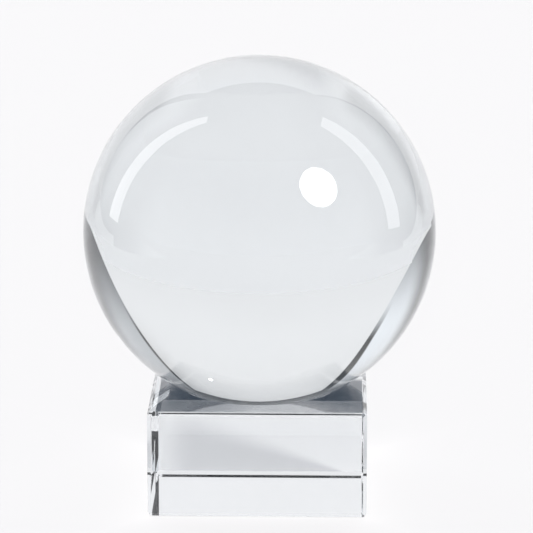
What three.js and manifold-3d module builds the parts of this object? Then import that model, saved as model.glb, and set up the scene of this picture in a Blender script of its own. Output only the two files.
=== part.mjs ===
// Crystal ball on a glass stand: a polished ball that rests, unfixed, in a round seat ground
// into the top of a square glass block. Millimetres, +Z up. The origin is the centre of the
// block's underside, and the block's faces look along X and Y.

import * as THREE from 'three';
import { ConvexGeometry } from 'three/addons/geometries/ConvexGeometry.js';
import { mergeVertices } from 'three/addons/utils/BufferGeometryUtils.js';
import Module from 'manifold-3d';

// Ball
const BALL_DIAMETER = 80;
const BALL_SINK = 4.3;        // depth of the ball's lowest point below the block's top face
const BALL_SLICES = 64;       // facets round the ball
const BALL_STACKS = 32;       // facets from pole to pole

// Stand block
const BLOCK_SIDE = 49;        // across its flat side faces
const BLOCK_HEIGHT = 24.3;
const CHAMFER_LEG = 0.8;      // every edge is ground off at 45 degrees by this much
const SEAT_GAP = 0.3;         // the seat follows the ball at this distance

// Places that follow from those sizes
const BALL_RADIUS = BALL_DIAMETER / 2;
const BALL_CENTRE_Z = BLOCK_HEIGHT - BALL_SINK + BALL_RADIUS;
const SEAT_RADIUS = BALL_RADIUS + SEAT_GAP;

const manifold = await Module();
manifold.setup();

// A closed three.js shape as a manifold solid.
function toSolid(geometry) {
  const bare = geometry.clone();
  bare.deleteAttribute('normal');
  bare.deleteAttribute('uv');
  const merged = mergeVertices(bare);
  const mesh = new manifold.Mesh({
    numProp: 3,
    vertProperties: new Float32Array(merged.attributes.position.array),
    triVerts: new Uint32Array(merged.index.array),
  });
  return new manifold.Manifold(mesh);
}

// A manifold solid as a three.js geometry.
function toGeometry(solid) {
  const mesh = solid.getMesh();
  const geometry = new THREE.BufferGeometry();
  geometry.setAttribute('position', new THREE.BufferAttribute(mesh.vertProperties, 3));
  geometry.setIndex(new THREE.BufferAttribute(mesh.triVerts, 1));
  geometry.computeVertexNormals();
  return geometry;
}

// A sphere about the origin with its poles on the Z axis.
function sphereGeometry(radius) {
  const geometry = new THREE.SphereGeometry(radius, BALL_SLICES, BALL_STACKS);
  geometry.rotateX(Math.PI / 2);
  return geometry;
}

// A square block centred on the origin with all twelve edges chamfered. The three chamfers at
// each corner run out to a single point, as they do where three flats are ground on glass.
function chamferedBlockGeometry(side, height, leg) {
  const points = [];
  const x = side / 2;
  const y = side / 2;
  const z = height / 2;
  for (const sx of [-1, 1]) {
    for (const sy of [-1, 1]) {
      for (const sz of [-1, 1]) {
        const corner = [
          [x, y - leg, z - leg],
          [x - leg, y, z - leg],
          [x - leg, y - leg, z],
          [x - leg / 2, y - leg / 2, z - leg / 2],
        ];
        for (const [px, py, pz] of corner) {
          points.push(new THREE.Vector3(sx * px, sy * py, sz * pz));
        }
      }
    }
  }
  return new ConvexGeometry(points);
}

// The ball: one solid sphere of clear crystal glass.
function crystalBall() {
  const material = new THREE.MeshStandardMaterial({
    color: 0xe6e9ec,
    roughness: 0.02,
    metalness: 0,
    transparent: true,
    opacity: 0.35,
  });
  const ball = new THREE.Mesh(sphereGeometry(BALL_RADIUS), material);
  ball.name = 'crystal_ball';
  ball.position.z = BALL_CENTRE_Z;
  return ball;
}

// The stand: a clear glass block whose top face is ground away by the seat's sphere. The block
// and the sphere are cut in the block's own frame, in which its centre is the origin.
function standBlock() {
  const block = toSolid(chamferedBlockGeometry(BLOCK_SIDE, BLOCK_HEIGHT, CHAMFER_LEG));
  const seatTool = sphereGeometry(SEAT_RADIUS);
  seatTool.translate(0, 0, BALL_CENTRE_Z - BLOCK_HEIGHT / 2);
  const material = new THREE.MeshStandardMaterial({
    color: 0xdfe4e8,
    roughness: 0.03,
    metalness: 0,
    transparent: true,
    opacity: 0.35,
  });
  const stand = new THREE.Mesh(toGeometry(block.subtract(toSolid(seatTool))), material);
  stand.name = 'stand_block';
  stand.position.z = BLOCK_HEIGHT / 2;
  return stand;
}

const object = new THREE.Group();
object.add(standBlock());
object.add(crystalBall());

export default object;
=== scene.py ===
import math

import bmesh
import bpy
from mathutils import Matrix, Vector


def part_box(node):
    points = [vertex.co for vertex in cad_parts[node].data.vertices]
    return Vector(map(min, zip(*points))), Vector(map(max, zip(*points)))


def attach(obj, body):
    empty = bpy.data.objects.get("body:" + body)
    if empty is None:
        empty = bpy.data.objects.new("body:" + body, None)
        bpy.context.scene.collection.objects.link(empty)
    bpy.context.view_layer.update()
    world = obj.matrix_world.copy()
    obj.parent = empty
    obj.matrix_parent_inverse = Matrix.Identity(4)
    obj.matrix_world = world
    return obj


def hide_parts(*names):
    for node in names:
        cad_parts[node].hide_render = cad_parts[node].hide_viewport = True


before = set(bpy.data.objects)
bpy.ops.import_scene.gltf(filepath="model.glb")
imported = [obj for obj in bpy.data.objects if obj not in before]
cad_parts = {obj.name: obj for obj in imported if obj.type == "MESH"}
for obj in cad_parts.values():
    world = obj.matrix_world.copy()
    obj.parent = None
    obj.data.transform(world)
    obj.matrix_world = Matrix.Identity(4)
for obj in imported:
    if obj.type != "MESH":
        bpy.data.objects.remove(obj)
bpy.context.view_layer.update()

# Crystal ball: one solid sphere of clear optical glass, ground round between two cups and then
# polished. Nothing fixes it, so it rests in the stand's seat by its own weight.
ball_low, ball_high = (Vector(corner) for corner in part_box("crystal_ball"))
BALL_CENTRE = (ball_low + ball_high) / 2
BALL_RADIUS = (ball_high.z - ball_low.z) / 2
BALL_ROWS = 64                           # patches along each edge of the cube that is blown round
BALL_TINT = (0.853, 0.882, 0.897)        # what is left of white light after crossing the ball
CROWN_GLASS_INDEX = 1.517
LEAST_POLISHED = 0.012                   # roughness where the polish is poorest
LEAST_CLEAR = 0.985                      # tint there, as a share of the rest
CLOUD_SCALE = 60.0                       # clouds per metre in the polish
CLOUD_DETAIL = 3.0


class Value:
    """A shader socket that Python arithmetic works on by adding Math nodes."""

    tree = None

    def __init__(self, socket):
        self.socket = socket

    @classmethod
    def node(cls, kind, settings=None, output=0, **inputs):
        """Adds a node, sets its own settings, fills its input sockets and gives one output."""
        made = cls.tree.nodes.new("ShaderNode" + kind)
        for name, setting in (settings or {}).items():
            setattr(made, name, setting)
        for name, given in inputs.items():
            key = int(name[1:]) if name[0] == "i" and name[1:].isdigit() else name
            cls.fill(made.inputs[key], given)
        return cls(made.outputs[output])

    @staticmethod
    def fill(socket, given):
        if isinstance(given, Value):
            Value.tree.links.new(given.socket, socket)
        else:
            socket.default_value = given

    def math(self, operation, *others):
        inputs = {f"i{n}": given for n, given in enumerate((self, *others))}
        return self.node("Math", {"operation": operation}, **inputs)

    def __add__(self, other):
        return self.math("ADD", other)

    __radd__ = __add__

    def __sub__(self, other):
        return self.math("SUBTRACT", other)

    def __rsub__(self, other):
        return self.node("Math", {"operation": "SUBTRACT"}, i0=other, i1=self)

    def __mul__(self, other):
        return self.math("MULTIPLY", other)

    __rmul__ = __mul__

    def __truediv__(self, other):
        return self.math("DIVIDE", other)

    def __rtruediv__(self, other):
        return self.node("Math", {"operation": "DIVIDE"}, i0=other, i1=self)

    def ramp(self, start, end, low=0.0, high=1.0):
        """Goes smoothly from low to high as the value goes from start to end."""
        settings = {"interpolation_type": "SMOOTHSTEP"}
        return self.node("MapRange", settings, i0=self, i1=start, i2=end, i3=low, i4=high)

    def blend(self, plain, full):
        """Gives plain where the value is 0 and full where it is 1."""
        return plain + (full - plain) * self


def parts_of(vector):
    split = Value.tree.nodes.new("ShaderNodeSeparateXYZ")
    Value.fill(split.inputs[0], vector)
    return [Value(part) for part in split.outputs]


def new_material(name):
    material = bpy.data.materials.new(name)
    material.use_nodes = True
    Value.tree = material.node_tree
    return material, Value.tree.nodes["Principled BSDF"].inputs


def polished_glass(name, tint):
    """Clear glass whose polish and clarity vary very slightly over the piece."""
    material, surface = new_material(name)
    surface["Transmission Weight"].default_value = 1.0
    surface["IOR"].default_value = CROWN_GLASS_INDEX
    place = Value.node("TexCoord", output="Object")
    cloud = Value.node("TexNoise", Vector=place, Scale=CLOUD_SCALE,
                       Detail=CLOUD_DETAIL)
    Value.fill(surface["Roughness"], cloud.ramp(0.45, 0.75, 0.0, LEAST_POLISHED))
    dull_tint = [part * LEAST_CLEAR for part in tint]
    varied = Value.node("Mix", {"data_type": "RGBA"}, output=2, i0=cloud.ramp(0.3, 0.7),
                        i6=(*tint, 1.0), i7=(*dull_tint, 1.0))
    Value.fill(surface["Base Color"], varied)
    return material


def add_object(name, shape):
    """Turns a finished bmesh into an object in the scene."""
    mesh = bpy.data.meshes.new(name)
    shape.to_mesh(mesh)
    shape.free()
    made = bpy.data.objects.new(name, mesh)
    bpy.context.collection.objects.link(made)
    return made


# a cube with a fine grid on each side, blown out to a sphere
ball_shape = bmesh.new()
bmesh.ops.create_cube(ball_shape, size=2.0)
bmesh.ops.subdivide_edges(ball_shape, edges=ball_shape.edges[:], cuts=BALL_ROWS - 1,
                          use_grid_fill=True)
for point in ball_shape.verts:
    even = Vector(math.tan(part * math.pi / 4) for part in point.co)
    point.co = BALL_CENTRE + even.normalized() * BALL_RADIUS
for face in ball_shape.faces:
    face.smooth = True
ball = add_object("clear_ball", ball_shape)
ball.data.materials.append(polished_glass("ball_glass", BALL_TINT))
ball.visible_shadow = False              # the paper's own colour holds the shade under the glass
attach(ball, "ball")
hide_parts("crystal_ball")


# Stand: a block sawn from clear glass, with a shallow round seat ground into its top. All twelve
# edges are ground off at 45 degrees and every surface is polished.
block_low, block_high = (Vector(corner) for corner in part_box("stand_block"))
CHAMFER_LEG = 0.0008
SEAT_GAP = 0.0001                        # air between the ball and its seat
TOOL_SEGMENTS = 192
TOOL_RINGS = 128
FLAT_ANGLE = math.radians(1)             # faces that bend less than this are one face
STAND_TINT = (0.866, 0.888, 0.906)
CORNER_INSETS = ((0, 1, 1), (1, 0, 1), (1, 1, 0), (0.5, 0.5, 0.5))   # in chamfer legs

block_middle = (block_low + block_high) / 2
block_half = (block_high - block_low) / 2
block_shape = bmesh.new()
for side_x in (-1, 1):
    for side_y in (-1, 1):
        for side_z in (-1, 1):
            for insets in CORNER_INSETS:
                reach = block_half - Vector(insets) * CHAMFER_LEG
                corner = Vector((side_x * reach.x, side_y * reach.y, side_z * reach.z))
                block_shape.verts.new(block_middle + corner)
bmesh.ops.convex_hull(block_shape, input=block_shape.verts[:])
bmesh.ops.dissolve_limit(block_shape, angle_limit=FLAT_ANGLE, verts=block_shape.verts[:],
                         edges=block_shape.edges[:])
block = add_object("seated_block", block_shape)

# the round tool that grinds the seat
tool_shape = bmesh.new()
bmesh.ops.create_uvsphere(tool_shape, u_segments=TOOL_SEGMENTS, v_segments=TOOL_RINGS,
                          radius=BALL_RADIUS + SEAT_GAP)
for face in tool_shape.faces:
    face.smooth = True
tool = add_object("seat_tool", tool_shape)
tool.location = BALL_CENTRE
grind = block.modifiers.new("seat", "BOOLEAN")
grind.object = tool
grind.operation = "DIFFERENCE"
grind.solver = "EXACT"
bpy.context.view_layer.update()
ground_block = block.evaluated_get(bpy.context.evaluated_depsgraph_get())
ground_mesh = bpy.data.meshes.new_from_object(ground_block)
block.modifiers.clear()
block.data = ground_mesh
bpy.data.objects.remove(tool)
block.data.materials.clear()
block.data.materials.append(polished_glass("stand_glass", STAND_TINT))
block.visible_shadow = False
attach(block, "stand")
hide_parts("stand_block")


# Table: matt white paper, wide in front, narrow beside the stand and opening out again behind it.
# The glass casts no shadow here, so the paper's own colour holds painted shade and light: the
# darkness under the block, the streak that the block shades, the light that the ball gathers, the
# glow at the block's sides and a darkening well out to each side.
PAPER_EDGE = ((1.60, -1.60), (1.60, -0.26), (0.376, -0.26), (0.376, 0.27), (0.55, 0.50),
              (1.10, 1.00), (2.29, 2.00), (59.5, 50.0))   # its right-hand edge, front to back
PAPER_DROP = 0.0001                      # from the block's underside
PAPER_WHITE = (0.450, 0.446, 0.450)
STREAK_SIDE = Vector((0.721, 0.693))     # square to the edge of the shaded streak
STREAK_ALONG = Vector((-0.693, 0.721))   # along that edge, away from the lamp
STREAK_OFFSET = 0.0329
STREAK_SPREAD = 0.2                      # how fast the edge softens on its way
STREAK_DEPTH = 0.26
SHADE_COLOUR = (0.0, 0.012, 0.03, 1.0)
UNDER_DEPTH = 0.95                       # share of the light lost under the block
FOCUS_PLACE = Vector((0.006, -0.008))    # where the ball gathers light under the block
FOCUS_GAIN = 0.38
BOUNCE = 0.11                            # light that the block's sides throw on the paper
BOUNCE_FADE = 125.0                      # how fast that fades, per metre
BLOCK_REACH = 0.0245                     # half the block's width
SIDE_LOSS = 0.13                         # light lost well out to each side
paper_shape = bmesh.new()
right_edge = [paper_shape.verts.new((x, y, 0)) for x, y in PAPER_EDGE]
left_edge = [paper_shape.verts.new((-x, y, 0)) for x, y in PAPER_EDGE]
for n in range(len(PAPER_EDGE) - 1):
    if right_edge[n].co.y != right_edge[n + 1].co.y:
        paper_shape.faces.new((left_edge[n], right_edge[n], right_edge[n + 1], left_edge[n + 1]))
paper = add_object("white_paper", paper_shape)
paper.location.z = block_low.z - PAPER_DROP
paper_material, surface = new_material("matt_paper")
surface["Roughness"].default_value = 1.0
surface["Specular IOR Level"].default_value = 0.0
x, y, z = parts_of(Value.node("TexCoord", output="Object"))
aside = x.math("ABSOLUTE")
along = y.math("ABSOLUTE")
past_edge = x * STREAK_SIDE.x + y * STREAK_SIDE.y - STREAK_OFFSET
way = x * STREAK_ALONG.x + y * STREAK_ALONG.y
softness = ((way - 0.004) * STREAK_SPREAD).math("MAXIMUM", 0.0005)
streak = (past_edge / softness).ramp(-1.0, 1.0, 1.0, 0.0)
streak = streak * x.ramp(-0.027, -0.016) * y.ramp(0.020, 0.025) * y.ramp(0.08, 0.16, 1.0, 0.0)
under = aside.ramp(0.0235, 0.0245, 1.0, 0.0) * along.ramp(0.0215, 0.0235, 1.0, 0.0)
focus_x = x - FOCUS_PLACE.x
focus_y = y - FOCUS_PLACE.y
from_focus = (focus_x * focus_x + focus_y * focus_y).math("SQRT")
focus = from_focus.ramp(0.008, 0.018, FOCUS_GAIN, 0.0)
outside = aside.math("MAXIMUM", along) - BLOCK_REACH
bounce = (outside * -BOUNCE_FADE).math("EXPONENT") * outside.ramp(-0.001, 0.0, 0.0, BOUNCE)
# painted shade: the paper's colour darker well out to each side, fading out behind
far_aside = aside.ramp(0.08, 0.28, 0.0, SIDE_LOSS) * y.ramp(0.12, 0.40, 1.0, 0.0)
share = (1 - streak * STREAK_DEPTH) * (1 - under * UNDER_DEPTH) + focus + bounce
share = share * (1 - far_aside)
brightest = [part * (1 + BOUNCE) for part in PAPER_WHITE]
Value.fill(surface["Base Color"], Value.node(
    "Mix", {"data_type": "RGBA"}, output=2, i0=share / (1 + BOUNCE), i6=SHADE_COLOUR,
    i7=(*brightest, 1.0)))
paper.data.materials.append(paper_material)

# Two soft shaded arms on the table, spreading back from the stand. They are hidden from the camera
# itself, so they show only through the glass, where they darken the ball's upper rim.
ARM_START = 0.064                        # how far back an arm is where it is ARM_ASIDE off
ARM_ASIDE = 0.04
ARM_SLOPE = 0.52
LEFT_ARM_DEPTH = 0.31
RIGHT_ARM_DEPTH = 0.21
SHADE_REACH = 0.3
shade_shape = bmesh.new()
bmesh.ops.create_grid(shade_shape, x_segments=2, y_segments=2, size=SHADE_REACH)
ball_shade = add_object("ball_shade", shade_shape)
ball_shade.location.z = block_low.z - PAPER_DROP / 2
shade_material, surface = new_material("soft_shade")
surface["Base Color"].default_value = (0.0, 0.0, 0.0, 1.0)
surface["Roughness"].default_value = 1.0
surface["Specular IOR Level"].default_value = 0.0
x, y, z = parts_of(Value.node("TexCoord", output="Object"))
aside = x.math("ABSOLUTE")
past = y - ARM_START - (aside - ARM_ASIDE) * ARM_SLOPE
arm = past.ramp(-0.024, -0.002) * past.ramp(0.002, 0.036, 1.0, 0.0)
arm = arm * aside.ramp(0.024, 0.032) * aside.ramp(0.16, 0.26, 1.0, 0.0)
Value.fill(surface["Alpha"], arm * x.ramp(-0.01, 0.01, LEFT_ARM_DEPTH, RIGHT_ARM_DEPTH))
ball_shade.data.materials.append(shade_material)
ball_shade.visible_camera = False
ball_shade.visible_diffuse = False
ball_shade.visible_glossy = False
ball_shade.visible_shadow = False


# Studio: the paper curves up into a tall white sheet behind the ball, with a dark gap and then a
# pale card on each side of it. The room is dark above and beside them, and pale low down in front.
PAPER_LOOK = (0.956, 0.948, 0.956)       # colour and brightness of the lit sheet
DARK_ROOM = 0.03
FACING_ROOM = 0.95                       # the pale wall behind the camera
COOL_ROOM = (0.97, 1.0, 1.03)            # everything but the sheet is a little blue
SHEET_TOP = 1.38                         # its height as a share of its distance
SHEET_GLOW = 1.055                       # how much lighter it is above the curve
EDGE_LIMIT = 3.3                         # how far out its foot may spread, as a share of distance
EDGE_LOSS = 0.22                         # how much darker its right edge is, high up
CARD_PEAK_RIGHT = 0.66
CARD_PEAK_LEFT = 1.10
CARD_TOP = 0.3                           # what is left of a card's brightness at its top
world = bpy.data.worlds.new("studio")
bpy.context.scene.world = world
world.use_nodes = True
Value.tree = world.node_tree
x, y, z = parts_of(Value.node("TexCoord", output="Generated"))
azimuth = x.math("ARCTAN2", y) * (180 / math.pi)
elevation = z.math("ARCSINE") * (180 / math.pi)
turned = azimuth.math("ABSOLUTE")
behind = y.ramp(-0.001, 0.001)
to_right = x.ramp(-0.05, 0.05)
u = (x / y).math("ABSOLUTE")
v = z / y
# the sheet's edge, which spreads towards the table where the paper curves forward
right_side = 0.61 + 0.595 * (v / -0.30).math("EXPONENT")
left_side = 0.64 + 0.51 * (v / -0.215).math("EXPONENT")
edge = to_right.blend(left_side, right_side).math("MINIMUM", EDGE_LIMIT)
beyond = u - edge
sheet = beyond.ramp(-0.01, 0.01, 1.0, 0.0) * v.ramp(SHEET_TOP - 0.02, SHEET_TOP + 0.02, 1.0, 0.0)
sheet = sheet * behind
# it hangs a little further from the lamps towards its right edge
turned_away = beyond.ramp(-0.28, 0.0) * x.ramp(0.05, 0.30) * elevation.ramp(5.0, 38.0) * EDGE_LOSS
sheet_light = elevation.ramp(-2.0, 14.0, 1.0, SHEET_GLOW) - turned_away
gap_width = to_right.blend(0.09 + elevation.ramp(20.0, 45.0) * 0.07, 0.05)
gap = (beyond - gap_width).ramp(-0.02, 0.02, 1.0, 0.0) * behind * elevation.ramp(8.0, 22.0)
on_right = elevation.ramp(-5.0, 25.0, 0.10, CARD_PEAK_RIGHT)
on_right = on_right * elevation.ramp(28.0, 60.0, 1.0, CARD_TOP) * turned.ramp(48.0, 68.0, 1.0, 0.0)
on_left = elevation.ramp(-14.0, 20.0, 0.15, CARD_PEAK_LEFT)
on_left = on_left * elevation.ramp(30.0, 60.0, 1.0, CARD_TOP) * turned.ramp(50.0, 68.0, 1.0, 0.0)
cards = to_right.blend(on_left, on_right) * elevation.ramp(-10.0, -2.0)
beside = DARK_ROOM + cards * (1 - gap) * elevation.ramp(46.0, 58.0, 1.0, 0.0)
facing = turned.ramp(88.0, 112.0) * elevation.ramp(-6.0, 42.0, 1.0, 0.0)
around = facing.blend(beside, FACING_ROOM)
light = sheet.blend(around, sheet_light)
red, green, blue = (light * sheet.blend(cool, 1.0) * part
                    for cool, part in zip(COOL_ROOM, PAPER_LOOK))
Value.fill(Value.tree.nodes["Background"].inputs["Color"],
           Value.node("CombineColor", i0=red, i1=green, i2=blue))


# Lamps: a broad soft one overhead lights the table, a round one stands to the front right, and a
# tall narrow softbox stands on each side of the sheet, the right one leaning over the ball. Each
# is left out of the paper, the reflections or the view through the glass where it isn't wanted.
def add_lamp(name, kind, toward, energy, **settings):
    """A lamp whose middle lies in the given direction and distance from the ball, facing it."""
    data = bpy.data.lights.new(name, kind)
    data.energy = energy
    for key, value in settings.items():
        setattr(data, key, value)
    made = bpy.data.objects.new(name, data)
    made.location = BALL_CENTRE + toward
    made.rotation_euler = toward.to_track_quat("Z", "Y").to_euler()
    bpy.context.collection.objects.link(made)
    return made


OVERHEAD_STRENGTH = 5.92
OVERHEAD_SPREAD = math.radians(6)
top = add_lamp("overhead", "SUN", Vector((0.0, 0.001, 2.0)), OVERHEAD_STRENGTH,
               angle=OVERHEAD_SPREAD)
top.visible_glossy = False
top.visible_transmission = False

ROUND_BEARING = math.radians(131.5)
ROUND_RISE = math.radians(36)
ROUND_DISTANCE = 1.6
ROUND_SIZE = 0.69
ROUND_RADIANCE = 10.0
round_way = Vector((math.sin(ROUND_BEARING) * math.cos(ROUND_RISE),
                    math.cos(ROUND_BEARING) * math.cos(ROUND_RISE), math.sin(ROUND_RISE)))
round_lamp = add_lamp("round_softbox", "AREA", round_way * ROUND_DISTANCE,
                      ROUND_RADIANCE * math.pi * math.pi * ROUND_SIZE ** 2 / 4,
                      shape="DISK", size=ROUND_SIZE)
round_lamp.visible_diffuse = False
round_lamp.visible_transmission = False

# the pin-sized modelling bulb of the lamp behind the sheet
BULB_PLACE = Vector((0.326, 1.215, 0.818))
BULB_SIZE = 0.03
BULB_STRENGTH = 60.0
bulb = add_lamp("bulb", "AREA", BULB_PLACE, BULB_STRENGTH * BULB_SIZE ** 2,
                shape="DISK", size=BULB_SIZE)
bulb.visible_diffuse = False
bulb.visible_glossy = False

# each tall softbox by its foot, its tip, its width, its radiance and if the glass shows it
for name, foot, tip, width, radiance, seen_through in (
    ("left_softbox", Vector((-1.43, 0.45, 0.0)), Vector((-1.43, 0.45, 3.0)), 0.28, 2.6, False),
    ("right_softbox", Vector((1.49, 0.20, 0.0)), Vector((1.25, 0.29, 0.87)), 0.30, 2.1, False),
    ("right_softbox_top", Vector((1.25, 0.29, 0.87)), Vector((1.00, 0.38, 1.75)), 0.30, 2.2, True),
):
    length = (tip - foot).length
    middle = (foot + tip) / 2
    strip = add_lamp(name, "AREA", middle, radiance * math.pi * width * length,
                     shape="RECTANGLE", size=width, size_y=length)
    upward = (tip - foot).normalized()
    outward = (middle - middle.dot(upward) * upward).normalized()
    strip.rotation_euler = Matrix((upward.cross(outward), upward, outward)).transposed().to_euler()
    strip.visible_diffuse = False
    strip.visible_transmission = seen_through


# Camera: a long lens a little above the ball and a touch to its right. Light may cross many glass
# faces on its way, and no bright spots are traced through the glass.
CAMERA_RISE = math.radians(13.5)
CAMERA_TURN = math.radians(1.35)
CAMERA_DISTANCE = 0.726
CAMERA_LENS = 216.1                      # millimetres, on a 36 mm wide frame
CAMERA_SHIFT = (0.0132, -0.0662)
camera_data = bpy.data.cameras.new("camera")
camera_data.sensor_width = 36
camera_data.lens = CAMERA_LENS
camera_data.clip_start = 0.01
camera_data.clip_end = 50
camera_data.shift_x, camera_data.shift_y = CAMERA_SHIFT
camera = bpy.data.objects.new("camera", camera_data)
out = Vector((math.sin(CAMERA_TURN) * math.cos(CAMERA_RISE),
              -math.cos(CAMERA_TURN) * math.cos(CAMERA_RISE), math.sin(CAMERA_RISE)))
camera.location = BALL_CENTRE + out * CAMERA_DISTANCE
camera.rotation_euler = out.to_track_quat("Z", "Y").to_euler()
bpy.context.collection.objects.link(camera)
scene = bpy.context.scene
scene.camera = camera
scene.view_settings.view_transform = "Standard"
scene.cycles.max_bounces = 32
scene.cycles.transmission_bounces = 32
scene.cycles.glossy_bounces = 16
scene.cycles.use_denoising = True
scene.cycles.caustics_reflective = False
scene.cycles.caustics_refractive = False
